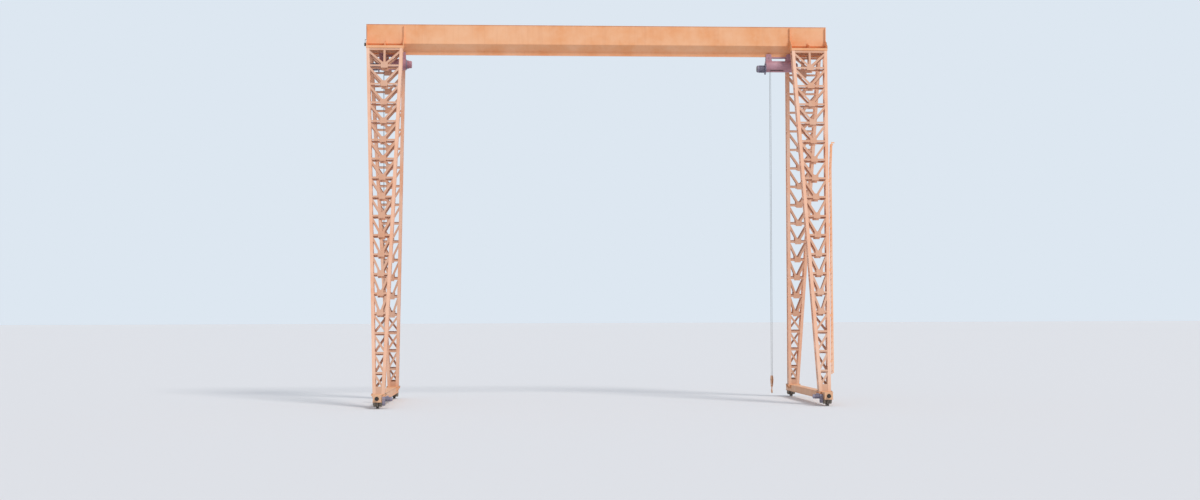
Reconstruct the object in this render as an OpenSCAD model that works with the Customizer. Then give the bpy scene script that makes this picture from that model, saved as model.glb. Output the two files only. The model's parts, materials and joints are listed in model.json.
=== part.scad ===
/* [Crane] */
// Distance between the centre lines of the two ground beams
span = 22500; // [16000:100:26000]
// Height of the lower face of the track beam above the bottoms of the wheels
track_z = 18510; // [12000:10:20000]
// Height of the column tops above the lower face of the track beam
column_top_rise = 180; // [120:10:240]
// Length of girder past the outer edge of each leg
girder_overhang = 50; // [20:10:600]

/* [Girder] */
// Width over the two side webs
girder_w = 750; // [600:10:900]
// Height of the side webs
web_h = 1010; // [700:10:1300]
// Thickness of the side webs and sloped plates
web_t = 8; // [6:1:16]
// Thickness of the top plate
top_plate_t = 10; // [8:1:20]
// Width of the top plate past each side web
top_plate_lip = 20; // [10:5:60]
// Height of the sloped lower plates
slope_h = 350; // [250:10:450]
// Height above the lower face of the track beam where the sloped plates meet its web
slope_seat = 180; // [120:10:220]
// Thickness of the end plates
end_plate_t = 10; // [8:1:20]
// Width that the end plates stand past the track beam on each side
end_plate_lip = 12; // [4:1:30]

/* [Track beam] */
// Depth of the rolled track beam
track_h = 320; // [260:10:360]
// Width of its flanges
track_w = 130; // [110:5:150]
// Thickness of its web
track_web_t = 10; // [8:1:16]
// Thickness of its flanges
track_flange_t = 15; // [12:1:20]

/* [Columns] */
// Width of a column at its top, seen along the rails
column_top_w = 1900; // [1400:20:2200]
// Width of a column at its foot
column_foot_w = 600; // [520:20:700]
// Depth of a column, the same from foot to top
column_depth = 450; // [400:10:600]
// Distance of the column tops from the middle plane of the girder
column_top_y = 800; // [760:10:1000]
// Distance of the column feet from the middle plane of the girder
column_foot_y = 4300; // [3600:20:4600]
// Height of the top panel
top_panel_h = 1010; // [800:10:1100]
// Number of panels below the top panel
panels = 17; // [14:1:20]
// Number of lowest panels that have a single diagonal
single_panels = 4; // [2:1:6]
// Leg width of the corner angles in the wide faces
chord_leg = 160; // [140:5:180]
// Leg width of the corner angles in the narrow faces
chord_side_leg = 100; // [80:5:120]
// Thickness of the corner angles
chord_t = 12; // [10:1:16]
// Width of the diagonals in the wide faces
diagonal_w = 110; // [80:5:125]
// Width of the horizontals in the wide faces
horizontal_w = 100; // [70:5:110]
// Inward leg of the diagonals and horizontals
brace_leg = 70; // [50:5:90]
// Thickness of the diagonals and horizontals
brace_t = 8; // [6:1:12]
// Width of the square joint plates
gusset_w = 340; // [250:10:400]
// Height of the square joint plates
gusset_h = 310; // [240:10:380]
// Width and height added to the joint plate under the top panel
gusset_top_extra = 20; // [0:10:200]
// Leg width of the lacing angles in the narrow faces
lace_leg = 63; // [50:1:70]
// Thickness of the lacing angles
lace_t = 6; // [5:1:8]
// Height of the solid plates at the foot of each face
foot_tie_h = 330; // [250:10:500]
// Thickness of those plates
foot_tie_t = 10; // [8:1:14]

/* [Column caps and brackets] */
// Height of the channel ring on each column
cap_h = 120; // [100:10:160]
// Width of its flanges
cap_flange = 58; // [50:1:75]
// Thickness of its web and flanges
cap_t = 8; // [6:1:12]
// Width that the ring stands past the column
cap_lip = 15; // [5:5:40]
// Height of the bracket's end plates above its base plate
bracket_h = 1200; // [800:10:1220]
// Height at which the end plates narrow to a rib
bracket_knee_h = 560; // [400:10:700]
// Width of that rib
bracket_rib_w = 110; // [60:5:160]
// Height of the bracket's middle plate at the girder
bracket_mid_h = 380; // [300:10:500]
// Height of the outer edge of the bracket plates
bracket_edge_h = 130; // [60:10:300]
// Thickness of the bracket plates
bracket_t = 12; // [8:1:20]
// Distance of the inner edge of the base plates from the middle plane
bracket_inner_y = 215; // [205:5:260]

/* [Ground beams] */
// Length past the wheel axles at each end
beam_end = 450; // [400:10:600]
// Height of the underside above the bottoms of the wheels
ground_beam_z = 340; // [336:1:380]
// Depth of the box section
ground_beam_h = 360; // [340:10:450]
// Width of its top and bottom plates
ground_beam_w = 460; // [420:10:520]
// Width over its side webs
ground_web_w = 400; // [360:10:410]
// Thickness of its top and bottom plates
ground_flange_t = 14; // [10:1:20]
// Thickness of its side webs and end plates
ground_web_t = 10; // [8:1:16]
// Length of the foot plates under the columns
foot_plate_l = 640; // [600:10:760]
// Thickness of the foot plates
foot_plate_t = 20; // [16:1:40]
// Width of the foot plates past the column on each side
foot_plate_lip = 60; // [40:5:120]
// Height of the outer edge of the ribs under the foot plates
foot_rib_edge = 40; // [20:5:80]
// Depth of the ribs under the foot plates
foot_rib_h = 240; // [150:10:300]

/* [Wheels] */
// Distance between the two wheel axles of a side
wheelbase = 10000; // [9400:20:10100]
// Diameter of the rolling surface
tread_d = 500; // [440:10:520]
// Height of the flanges past the rolling surface
flange_r = 25; // [15:1:30]
// Width of the rolling surface between the flanges
tread_w = 80; // [60:2:90]
// Thickness of each flange
flange_t = 20; // [14:1:24]
// Diameter of the axle
axle_d = 80; // [60:2:90]
// Diameter of the hub
hub_d = 190; // [160:5:220]
// Thickness of the wheel's web
wheel_web_t = 36; // [24:1:50]
// Running clearance between axle and bearing, on the radius
bearing_clear = 0.05; // [0.02:0.01:0.1]
// Side clearance between wheel and bearing box
box_clear = 8; // [6:1:16]
// Width of a bearing box
box_w = 136; // [120:2:144]
// Radius of the rounded lower end of a bearing box
box_r = 165; // [140:5:180]
// Thickness of the bearing cover
cover_t = 18; // [10:1:30]

/* [Travel drives] */
// Thickness of the gear case
gear_case_t = 130; // [100:5:160]
// Radius of the rounded ends of the gear case
gear_case_r = 120; // [100:5:150]
// Radius of the sleeve between bearing cover and gear case
drive_sleeve_r = 60; // [45:1:62]
// Clearance between the gear case and the edge of the ground beam
drive_clear = 6; // [2:1:20]
// Height of the motor axis above the wheel axle
drive_rise = 210; // [180:5:240]
// Diameter of the travel motor
drive_motor_d = 220; // [180:5:260]
// Length of the travel motor
drive_motor_l = 360; // [280:10:460]

/* [Buffers, ladder and lamps] */
// Length of the buffers at the ends of the ground beams
buffer_l = 150; // [100:5:200]
// Diameter of the buffers
buffer_d = 160; // [120:5:200]
// Thickness of the buffers' base plates
buffer_plate_t = 20; // [12:1:30]
// Height of the ladder's foot above the foot of the column
ladder_start = 900; // [400:50:1500]
// Length of the ladder along the column
ladder_l = 12300; // [9000:300:12600]
// Clear width between the ladder's stiles
ladder_w = 340; // [300:10:400]
// Distance between rungs
rung_pitch = 300; // [250:10:350]
// Diameter of the rungs
rung_d = 20; // [16:1:30]
// Distance of the ladder from the column
ladder_gap = 110; // [100:5:180]
// Width of the ladder's stiles
stile_w = 60; // [50:5:80]
// Thickness of the ladder's stiles
stile_t = 10; // [8:1:12]
// Length of the stiles' upper ends that lean away from the column
ladder_bend_l = 1500; // [900:50:2000]
// Distance that they lean out
ladder_bend = 60; // [40:10:200]
// Length of the stiles' tips that turn outwards
ladder_tip = 110; // [60:10:200]
// Distance between the ladder's wall brackets
clip_pitch = 2400; // [1800:50:3000]
// Distance that the lamps stand past the girder's end plates
lamp_reach = 130; // [100:5:240]
// Length of a lamp
lamp_l = 150; // [120:5:200]
// Diameter of a lamp
lamp_d = 100; // [80:5:120]

/* [Hoists] */
// Distance of the motor end of the right hoist from mid-span
hoist_right_x = 8580; // [6000:10:8800]
// Distance of the gear end of the left hoist from mid-span
hoist_left_x = 9900; // [6000:10:9980]
// Length of the hoist from its motor to its gear cover
hoist_l = 2200; // [2100:10:2240]
// Diameter of the drum casing
casing_d = 600; // [540:10:640]
// Drop of the casing's axis below the track beam
casing_drop = 520; // [500:5:600]
// Wall of the casing
casing_wall = 8; // [6:1:12]
// Thickness of the casing's end walls
casing_end_t = 15; // [10:1:25]
// Length of the drum casing
casing_l = 1430; // [1350:10:1500]
// Width that the casing's end rings stand out
casing_ring = 12; // [6:1:20]
// Diameter of the hoist motor over its ribs
motor_d = 390; // [330:10:420]
// Drop of the motor's axis below the casing's axis
motor_drop = 130; // [100:5:150]
// Length of the hoist motor
motor_l = 440; // [380:10:480]
// Diameter of the flange between motor and casing
motor_flange_d = 610; // [560:10:640]
// Thickness of that flange
motor_flange_t = 30; // [20:1:50]
// Diameter on which the rope runs, on the drum and on the sheave
rope_pitch_d = 380; // [340:5:400]
// Diameter of the rope
rope_d = 16; // [12:1:20]
// Diameter of the gear cover at the other end of the casing
gear_cover_d = 390; // [330:10:480]
// Length of that cover
gear_cover_l = 250; // [200:10:280]
// Distance of the rope falls from the motor end of the hoist
rope_u = 720; // [700:5:1100]
// Distance between grooves on the drum
groove_pitch = 30; // [20:1:60]
// Diameter of the trolley wheels
trolley_wheel_d = 130; // [110:5:150]
// Thickness of the trolley plates
trolley_plate_t = 14; // [10:1:18]
// Length of each trolley
trolley_l = 300; // [270:10:340]
// Diameter of the shaft that carries the hoist in each trolley
trolley_shaft_d = 50; // [40:1:60]
// Drop of that shaft's axis below the track beam
trolley_shaft_drop = 70; // [60:1:90]
// Thickness of the hanger plates between casing and trolleys
hanger_t = 12; // [8:1:16]
// Clearance between the hanger plates and the track beam above them
hanger_clear = 15; // [10:1:25]
// Depth of the bar that joins the two ends of a hanger plate
hanger_bar_h = 55; // [40:5:80]
// Clearance between the track beam's flange and the trolley plates
trolley_clear = 12; // [8:1:20]

/* [Hook blocks] */
// Height of the sheave axis above the bottoms of the wheels, with the hook lowered
sheave_z = 1150; // [1100:10:1600]
// Height added to it for the left hook, which comes down over a ground beam
left_hook_rise = 450; // [400:10:800]
// Width of the sheave
sheave_w = 50; // [40:2:60]
// Thickness of the cheek plates
cheek_t = 16; // [10:1:20]
// Diameter of the forged hook's section
hook_d = 60; // [44:2:70]
// Radius of the hook's throat
hook_throat_r = 62; // [50:1:75]
// Drop of the crosshead's axis below the sheave axis
crosshead_drop = 330; // [300:5:360]
// Side of the square crosshead
crosshead_h = 90; // [80:2:110]
// Drop of the middle of the hook's throat below the crosshead's axis
throat_drop = 282; // [270:2:320]
// Length of the hook's tapered tip
hook_tip_l = 90; // [60:5:110]

/* [Hidden] */
$fn = 64;
paint = "orange";
paint_dark = "darkorange";
iron = "dimgray";
red = "indianred";

// Small gaps between pieces that are welded or bolted together
seat_gap = 0.2;
// Depth to which bars of one face run into each other where they are welded
weld_lap = 2;
// Length by which bars run past a cut before it is made
spare = 120;
// Clearance on the radius between a fixed shaft and its hole
shaft_fit = 0.05;

// Levels of the girder
slope_z = track_z + slope_seat;
web_z = slope_z + slope_h;
top_plate_z = web_z + web_h;
girder_l = span + column_top_w + 2 * (girder_overhang + cap_lip);
plate_l = girder_l - 2 * end_plate_t;

// Columns: the lean is across the rails' middle plane, the taper is seen along the rails
column_foot_z = ground_beam_z + ground_beam_h + foot_plate_t;
column_top_z = track_z + column_top_rise;
column_rise = column_top_z - column_foot_z;
lean = atan((column_foot_y - column_top_y) / column_rise);
column_l = column_rise / cos(lean);
taper = atan((column_top_w - column_foot_w) / 2 / column_l);
level_step = (column_l - top_panel_h) / panels;
brace_y = chord_t - weld_lap;
lace_x = chord_t + seat_gap;
// Clear strip beside the narrow faces that the wide faces' bars stay out of
brace_inset = lace_x + lace_leg + 6;
lace_half = column_depth / 2 - chord_t - 8;
top_bar_drop = column_depth / 2 * tan(lean) + horizontal_w / 2 + 12;
// Distance of the diagonals' ends from the middle lines of the horizontals
brace_low = horizontal_w / 2 + diagonal_w * 0.4;
brace_high = horizontal_w / 2 + diagonal_w * 0.6;

// Caps and brackets
cap_w = column_top_w + 2 * cap_lip;
cap_depth = column_depth / cos(lean) + 2 * cap_lip;
cap_top_z = column_top_z + cap_h;
bracket_outer_y = column_top_y + cap_depth / 2;

// Wheels and ground beams
wheel_r = tread_d / 2 + flange_r;
wheel_w = tread_w + 2 * flange_t;
box_x0 = wheel_w / 2 + box_clear;
box_x1 = box_x0 + box_w;
axle_l = 2 * (box_x1 - box_clear);
box_h = ground_beam_z - wheel_r;
ground_beam_l = wheelbase + 2 * beam_end;
foot_plate_w = column_foot_w + 2 * foot_plate_lip;

// Hoists
casing_u0 = motor_l + motor_flange_t;
casing_u1 = casing_u0 + casing_l;
casing_z = track_z - casing_drop;
motor_z = casing_z - motor_drop;
drum_r = (rope_pitch_d - rope_d) / 2 - 0.3;
drum_clear = 60;
trolley_a_u = casing_u0 + trolley_l / 2 + casing_end_t;
trolley_b_u = casing_u1 - trolley_l / 2 - casing_end_t;
trolley_plate_y = track_w / 2 + trolley_clear;
trolley_axle_z = track_z + track_flange_t + seat_gap + trolley_wheel_d / 2;
trolley_shaft_z = track_z - trolley_shaft_drop;
hanger_y = trolley_plate_y + trolley_plate_t + seat_gap;

function side(name) = name == "left" || name == "near" ? -1 : 1;
function half_w(s) = column_foot_w / 2 + s * tan(taper);
function level(i) = i * level_step;
// Height of the sloped plates' lower surface at a distance from the girder's middle plane
function slope_at(y) = slope_z + slope_h * (2 * y - track_web_t) / (girder_w - track_web_t);

// Angle bar that runs along z, with its wide leg centred on x and its other leg towards y
module angle_bar(length, width, leg, t) {
    linear_extrude(height = length)
        polygon([[-width / 2, 0], [width / 2, 0], [width / 2, leg], [width / 2 - t, leg],
                 [width / 2 - t, t], [-width / 2, t]]);
}

// Angle bar from one point to another in the x-z plane
module angle_between(a, b, width, leg, t) {
    translate([a[0], 0, a[1]])
        rotate([0, atan2(b[0] - a[0], b[1] - a[1]), 0])
            angle_bar(norm(b - a), width, leg, t);
}

module plate_x(length, profile) {
    rotate([90, 0, 90]) linear_extrude(height = length, center = true) polygon(profile);
}

// Girder

module girder_top_plate() {
    color(paint)
        translate([-girder_l / 2, -girder_w / 2 - top_plate_lip, top_plate_z])
            cube([girder_l, girder_w + 2 * top_plate_lip, top_plate_t]);
}

module girder_web(y_side) {
    y0 = y_side > 0 ? girder_w / 2 - web_t : -girder_w / 2;
    color(paint) translate([-plate_l / 2, y0, web_z]) cube([plate_l, web_t, web_h]);
}

module girder_slope(y_side) {
    y0 = track_web_t / 2;
    y1 = girder_w / 2;
    thick_z = web_t / cos(atan(slope_h / (y1 - y0)));
    thick_y = thick_z * (y1 - y0) / slope_h;
    color(paint_dark)
        plate_x(plate_l, [[y_side * y1, web_z], [y_side * y0, slope_z],
                          [y_side * y0, slope_z + thick_z], [y_side * (y1 - thick_y), web_z]]);
}

module track_beam() {
    half_flange = track_w / 2;
    half_web = track_web_t / 2;
    color(paint) translate([0, 0, track_z])
        plate_x(plate_l, [
            [-half_flange, 0], [half_flange, 0], [half_flange, track_flange_t],
            [half_web, track_flange_t], [half_web, track_h - track_flange_t],
            [half_flange, track_h - track_flange_t], [half_flange, track_h],
            [-half_flange, track_h], [-half_flange, track_h - track_flange_t],
            [-half_web, track_h - track_flange_t], [-half_web, track_flange_t],
            [-half_flange, track_flange_t]]);
}

module girder_end_plates() {
    y0 = track_w / 2 + end_plate_lip;
    y1 = girder_w / 2;
    z0 = slope_at(y0);
    color(paint)
        for (x_side = [-1, 1])
            translate([x_side * (girder_l - end_plate_t) / 2, 0, 0])
                plate_x(end_plate_t, [
                    [-y0, track_z], [y0, track_z], [y0, z0], [y1, web_z], [y1, top_plate_z],
                    [-y1, top_plate_z], [-y1, web_z], [-y0, z0]]);
}

// Column caps and brackets

module leg_cap() {
    difference() {
        translate([-cap_w / 2, -cap_depth / 2, 0]) cube([cap_w, cap_depth, cap_h]);
        translate([cap_flange - cap_w / 2, cap_flange - cap_depth / 2, -1])
            cube([cap_w - 2 * cap_flange, cap_depth - 2 * cap_flange, cap_h + 2]);
        translate([cap_t - cap_w / 2, cap_t - cap_depth / 2, cap_t])
            cube([cap_w - 2 * cap_t, cap_depth - 2 * cap_t, cap_h - 2 * cap_t]);
    }
}

module leg_caps() {
    color(paint)
        for (x_side = [-1, 1], y_side = [-1, 1])
            translate([x_side * span / 2, y_side * column_top_y, column_top_z]) leg_cap();
}

// Plate across the girder, from the web out over the column top
module bracket_plate(knee_y, knee_h, top_h) {
    base_z = cap_top_z + bracket_t;
    web_y = girder_w / 2 + seat_gap;
    slope_gap = 2 * seat_gap;
    plate_x(bracket_t, [
        [bracket_inner_y, base_z - weld_lap], [bracket_outer_y, base_z - weld_lap],
        [bracket_outer_y, base_z + bracket_edge_h], [knee_y, base_z + knee_h],
        [knee_y, base_z + top_h], [web_y, base_z + top_h], [web_y, web_z - slope_gap],
        [bracket_inner_y, slope_at(bracket_inner_y) - slope_gap]]);
}

module bracket() {
    rib_y = girder_w / 2 + bracket_rib_w;
    translate([-cap_w / 2, bracket_inner_y, cap_top_z])
        cube([cap_w, bracket_outer_y - bracket_inner_y, bracket_t]);
    for (x_side = [-1, 1])
        translate([x_side * (cap_w - bracket_t) / 2, 0, 0])
            bracket_plate(rib_y, bracket_knee_h, bracket_h);
    bracket_plate(girder_w / 2 + bracket_edge_h / 2, bracket_mid_h * 0.8, bracket_mid_h);
}

module girder_brackets() {
    color(paint_dark)
        for (x_side = [-1, 1], y_side = [0, 1])
            translate([x_side * span / 2, 0, 0]) mirror([0, y_side, 0]) bracket();
}

// Columns. A column's own frame stands on the centre of its foot: z runs up along the column,
// x across its wide faces and y through its depth, with the outer wide face at negative y.

module chord(x_side) {
    mirror([x_side < 0 ? 1 : 0, 0, 0])
        translate([half_w(-spare), 0, -spare])
            rotate([0, taper, 0])
                linear_extrude(height = (column_l + 2 * spare) / cos(taper))
                    polygon([[0, 0], [0, chord_side_leg], [-chord_t, chord_side_leg],
                             [-chord_t, chord_t], [-chord_leg, chord_t], [-chord_leg, 0]]);
}

// Bars of a wide face. Each has its inward leg along its upper edge

// Diagonal from a point near the middle line up to a chord
module diagonal(x_side, low_x, low_s, high_s) {
    run = half_w(high_s) - brace_inset - low_x;
    tilt = atan(run / (high_s - low_s));
    high_x = half_w(high_s) - brace_inset - diagonal_w / 2 * cos(tilt);
    mirror([x_side > 0 ? 1 : 0, 0, 0])
        translate([0, brace_y, 0])
            angle_between([-low_x, low_s], [-high_x, high_s], diagonal_w, brace_leg, brace_t);
}

module horizontal(s) {
    half = half_w(s - horizontal_w / 2) - brace_inset;
    translate([0, brace_y, 0])
        angle_between([half, s], [-half, s], horizontal_w, brace_leg, brace_t);
}

module gusset(s, extra) {
    width = gusset_w + extra;
    height = gusset_h + extra;
    translate([-width / 2, 0, s - height * 0.4]) cube([width, chord_t, height]);
}

module v_panel(low, high, extra) {
    for (x_side = [-1, 1])
        diagonal(x_side, gusset_w / 6, low + brace_low, high - brace_high);
    gusset(low, extra);
}

module single_panel(i, slant) {
    low = level(i) + (i == 0 ? foot_tie_h - horizontal_w : 0);
    low_s = low + brace_high;
    high_s = level(i + 1) - brace_high;
    mirror([slant > 0 ? 1 : 0, 0, 0])
        translate([0, brace_y, 0])
            angle_between([half_w(low_s) - brace_inset - diagonal_w / 2, low_s],
                          [brace_inset + diagonal_w / 2 - half_w(high_s), high_s],
                          diagonal_w, brace_leg, brace_t);
}

// Wide face, with its outer surface at y = 0
module wide_face(slant) {
    chord(-1);
    chord(1);
    for (i = [1 : panels]) horizontal(level(i));
    horizontal(column_l - top_bar_drop);
    for (i = [0 : single_panels - 1]) single_panel(i, slant);
    for (i = [single_panels : panels - 1]) v_panel(level(i), level(i + 1), 0);
    v_panel(level(panels), column_l - top_bar_drop, gusset_top_extra);
    translate([0, chord_t - weld_lap / 4, level(panels)])
        angle_bar(column_l - level(panels) - top_bar_drop, diagonal_w, brace_leg, brace_t);
    foot_half = half_w(-spare) - brace_inset;
    translate([-foot_half, brace_y, -spare]) cube([2 * foot_half, foot_tie_t, foot_tie_h + spare]);
}

// Lacing of one narrow face, against the inner side of the chords' side legs
module narrow_face(x_side) {
    reach = lace_half - lace_leg * 0.7;
    mirror([x_side > 0 ? 1 : 0, 0, 0])
        translate([-half_w(0), 0, 0])
            rotate([0, -taper, 0])
                translate([lace_x, 0, 0])
                    rotate([0, 0, -90]) {
                        for (i = [1 : panels + 1]) {
                            s = i > panels ? column_l - top_bar_drop : level(i);
                            low = i == 1 ? foot_tie_h - lace_leg : level(i - 1);
                            sign = i % 2 == 0 ? 1 : -1;
                            angle_between([-lace_half, s], [lace_half, s], lace_leg, lace_leg, lace_t);
                            translate([0, weld_lap, 0])
                                angle_between([-sign * reach, low], [sign * reach, s],
                                              lace_leg, lace_leg, lace_t);
                        }
                        translate([-lace_half, 0, -spare])
                            cube([2 * lace_half, foot_tie_t, foot_tie_h + spare]);
                    }
}

// Stands a piece of the near left column at its place, cut level at foot and cap
module stand_column(x_name, y_name) {
    mirror([side(x_name) > 0 ? 1 : 0, 0, 0])
        mirror([0, side(y_name) > 0 ? 1 : 0, 0])
            translate([-span / 2, -column_foot_y, column_foot_z])
                intersection() {
                    rotate([-lean, 0, 0]) children();
                    translate([-column_top_w, -column_depth, 0])
                        cube([2 * column_top_w, column_foot_y + column_depth, column_rise]);
                }
}

module column_outer(x_name, y_name) {
    color(paint)
        stand_column(x_name, y_name)
            translate([0, -column_depth / 2, 0]) wide_face(-1);
}

module column_inner(x_name, y_name) {
    color(paint)
        stand_column(x_name, y_name)
            mirror([0, 1, 0]) translate([0, -column_depth / 2, 0]) wide_face(1);
}

module column_sides(x_name, y_name) {
    color(paint_dark)
        for (x_side = [-1, 1])
            stand_column(x_name, y_name) narrow_face(x_side);
}

// Ground beams, wheels and drives

module foot_ribs() {
    for (x_side = [-1, 1], y_side = [-1, 1])
        translate([0, y_side * (foot_plate_l / 2 - ground_web_t), 0])
            rotate([90, 0, 0])
                linear_extrude(height = ground_web_t, center = true)
                    polygon([[x_side * (ground_web_w / 2 - weld_lap), ground_beam_h],
                             [x_side * foot_plate_w / 2, ground_beam_h],
                             [x_side * foot_plate_w / 2, ground_beam_h - foot_rib_edge],
                             [x_side * ground_beam_w / 2, ground_beam_h - foot_rib_h],
                             [x_side * (ground_web_w / 2 - weld_lap), ground_beam_h - foot_rib_h]]);
}

module ground_beam(x_name) {
    slot_l = 2 * sqrt(wheel_r * wheel_r - box_h * box_h) + 5 * box_clear;
    color(paint)
        translate([side(x_name) * span / 2, 0, ground_beam_z]) {
            difference() {
                union() {
                    translate([-ground_beam_w / 2, -ground_beam_l / 2, 0])
                        cube([ground_beam_w, ground_beam_l, ground_flange_t]);
                    translate([-ground_beam_w / 2, -ground_beam_l / 2, ground_beam_h - ground_flange_t])
                        cube([ground_beam_w, ground_beam_l, ground_flange_t]);
                    for (x_side = [-1, 1])
                        translate([x_side * (ground_web_w - ground_web_t) / 2 - ground_web_t / 2,
                                   -ground_beam_l / 2, 0])
                            cube([ground_web_t, ground_beam_l, ground_beam_h]);
                    for (y_side = [-1, 1])
                        translate([-ground_web_w / 2,
                                   y_side * (ground_beam_l - ground_web_t) / 2 - ground_web_t / 2, 0])
                            cube([ground_web_w, ground_web_t, ground_beam_h]);
                    for (y_side = [-1, 1])
                        translate([0, y_side * column_foot_y, 0]) {
                            translate([-foot_plate_w / 2, -foot_plate_l / 2, ground_beam_h - weld_lap])
                                cube([foot_plate_w, foot_plate_l, foot_plate_t + weld_lap]);
                            foot_ribs();
                        }
                }
                for (y_side = [-1, 1])
                    translate([0, y_side * wheelbase / 2, 0])
                        cube([wheel_w + 2 * box_clear, slot_l, 3 * ground_flange_t], center = true);
            }
        }
}

module bearing_box() {
    foot_w = 40;
    foot_t = 20;
    difference() {
        union() {
            intersection() {
                rotate([0, 90, 0]) cylinder(h = box_w, r = box_r);
                translate([0, -box_r, -box_r]) cube([box_w, 2 * box_r, box_r + box_h]);
            }
            translate([0, -box_r, 0]) cube([box_w, 2 * box_r, box_h]);
            translate([0, -box_r - foot_w, box_h - foot_t])
                cube([box_w, 2 * (box_r + foot_w), foot_t]);
            translate([box_w, 0, 0]) rotate([0, 90, 0]) cylinder(h = cover_t, r = box_h + 35);
        }
        translate([-1, 0, 0]) rotate([0, 90, 0]) cylinder(h = box_w + 1, r = axle_d / 2 + bearing_clear);
        translate([-1, -box_r, box_h]) cube([box_w + cover_t + 2, 2 * box_r, box_r]);
    }
}

module bearing_boxes() {
    color(iron)
        for (x_side = [-1, 1], y_side = [-1, 1], turn = [0, 1])
            translate([x_side * span / 2, y_side * wheelbase / 2, wheel_r])
                mirror([turn, 0, 0]) translate([box_x0, 0, 0]) bearing_box();
}

module wheel(x_name, y_name) {
    rim_r = tread_d / 2 - 35;
    flange_taper = 6;
    color(iron)
        translate([side(x_name) * span / 2, side(y_name) * wheelbase / 2, wheel_r])
            rotate([0, 90, 0])
                rotate_extrude()
                    polygon([[0, -axle_l / 2], [axle_d / 2, -axle_l / 2], [axle_d / 2, -wheel_w / 2],
                             [hub_d / 2, -wheel_w / 2], [hub_d / 2, -wheel_web_t / 2],
                             [rim_r, -wheel_web_t / 2], [rim_r, -wheel_w / 2], [wheel_r, -wheel_w / 2],
                             [wheel_r, flange_taper - wheel_w / 2], [tread_d / 2, -tread_w / 2],
                             [tread_d / 2, tread_w / 2], [wheel_r, wheel_w / 2 - flange_taper],
                             [wheel_r, wheel_w / 2], [rim_r, wheel_w / 2], [rim_r, wheel_web_t / 2],
                             [hub_d / 2, wheel_web_t / 2], [hub_d / 2, wheel_w / 2],
                             [axle_d / 2, wheel_w / 2], [axle_d / 2, axle_l / 2], [0, axle_l / 2]]);
}

// Ribbed motor along z, from a flange at z = 0
module ribbed_motor(length, motor_r, rib_h) {
    ribbed_l = length * 0.75;
    cylinder(h = ribbed_l, r = motor_r - rib_h);
    for (a = [0 : 15 : 345])
        rotate([0, 0, a]) translate([0, -2.5, 0]) cube([motor_r, 5, ribbed_l]);
    translate([0, 0, ribbed_l - 1]) cylinder(h = length - ribbed_l + 1, r = motor_r - rib_h / 3);
}

module travel_drive(x_name) {
    case_x = ground_beam_w / 2 + drive_clear;
    motor_x = case_x + gear_case_t;
    motor_r = drive_motor_d / 2;
    box_l = 120;
    color(iron)
        translate([side(x_name) * span / 2, -wheelbase / 2, wheel_r])
            mirror([side(x_name) > 0 ? 1 : 0, 0, 0]) {
                translate([box_x1 + cover_t, 0, 0]) rotate([0, 90, 0])
                    cylinder(h = case_x - box_x1 - cover_t + 1, r = drive_sleeve_r);
                for (z = [0, drive_rise])
                    translate([case_x, 0, z]) rotate([0, 90, 0]) cylinder(h = gear_case_t, r = gear_case_r);
                translate([case_x, -gear_case_r, 0]) cube([gear_case_t, 2 * gear_case_r, drive_rise]);
                translate([motor_x - 1, 0, drive_rise]) rotate([0, 90, 0]) {
                    cylinder(h = 21, r = motor_r + 20);
                    ribbed_motor(drive_motor_l, motor_r, 12);
                }
                translate([motor_x + box_l / 2, -box_l / 2, drive_rise + motor_r - 20])
                    cube([box_l, box_l, 70]);
            }
}

module buffers() {
    color("black")
        for (x_side = [-1, 1], y_side = [-1, 1])
            translate([x_side * span / 2, y_side * ground_beam_l / 2, ground_beam_z + ground_beam_h / 2])
                rotate([-90 * y_side, 0, 0]) {
                    cylinder(h = buffer_plate_t, r = buffer_d / 2 + 25);
                    translate([0, 0, buffer_plate_t - 1])
                        cylinder(h = buffer_l - buffer_plate_t + 1, r = buffer_d / 2);
                }
}

// Distance that the ladder leans out at a place along the column
function ladder_out(s) = ladder_bend * max(0, s - ladder_start - ladder_l + ladder_bend_l) / ladder_bend_l;

// Ladder on the outer side of the near right column. Out is towards negative x
module ladder() {
    top_s = ladder_start + ladder_l;
    bend_s = top_s - ladder_bend_l;
    near_x = -ladder_gap;
    far_x = -ladder_gap - stile_w;
    tip_x = far_x - ladder_bend - ladder_tip;
    stile_y = (ladder_w + stile_t) / 2;
    rungs = floor((ladder_l - rung_pitch) / rung_pitch);
    clip_h = 60;
    color(paint_dark)
        mirror([1, 0, 0])
            translate([-span / 2, -column_foot_y, column_foot_z])
                rotate([-lean, 0, 0])
                    translate([-half_w(0), 0, 0])
                        rotate([0, -taper, 0]) {
                            for (y_side = [-1, 1])
                                translate([0, y_side * stile_y, 0]) rotate([90, 0, 0])
                                    linear_extrude(height = stile_t, center = true)
                                        polygon([[near_x, ladder_start], [near_x, bend_s],
                                                 [near_x - ladder_bend, top_s], [tip_x, top_s],
                                                 [tip_x, top_s - stile_w],
                                                 [far_x - ladder_bend, top_s - stile_w],
                                                 [far_x, bend_s], [far_x, ladder_start]]);
                            for (i = [0 : rungs]) {
                                s = ladder_start + rung_pitch * (i + 0.5);
                                translate([(near_x + far_x) / 2 - ladder_out(s), 0, s]) rotate([90, 0, 0])
                                    cylinder(h = 2 * stile_y, r = rung_d / 2, center = true, $fn = 8);
                            }
                            for (s = [ladder_start + 2 * rung_pitch : clip_pitch : bend_s], y_side = [-1, 1])
                                translate([far_x + 1, y_side * stile_y - stile_t / 2, s])
                                    cube([-far_x - 1 - seat_gap, stile_t, clip_h]);
                        }
}

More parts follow.
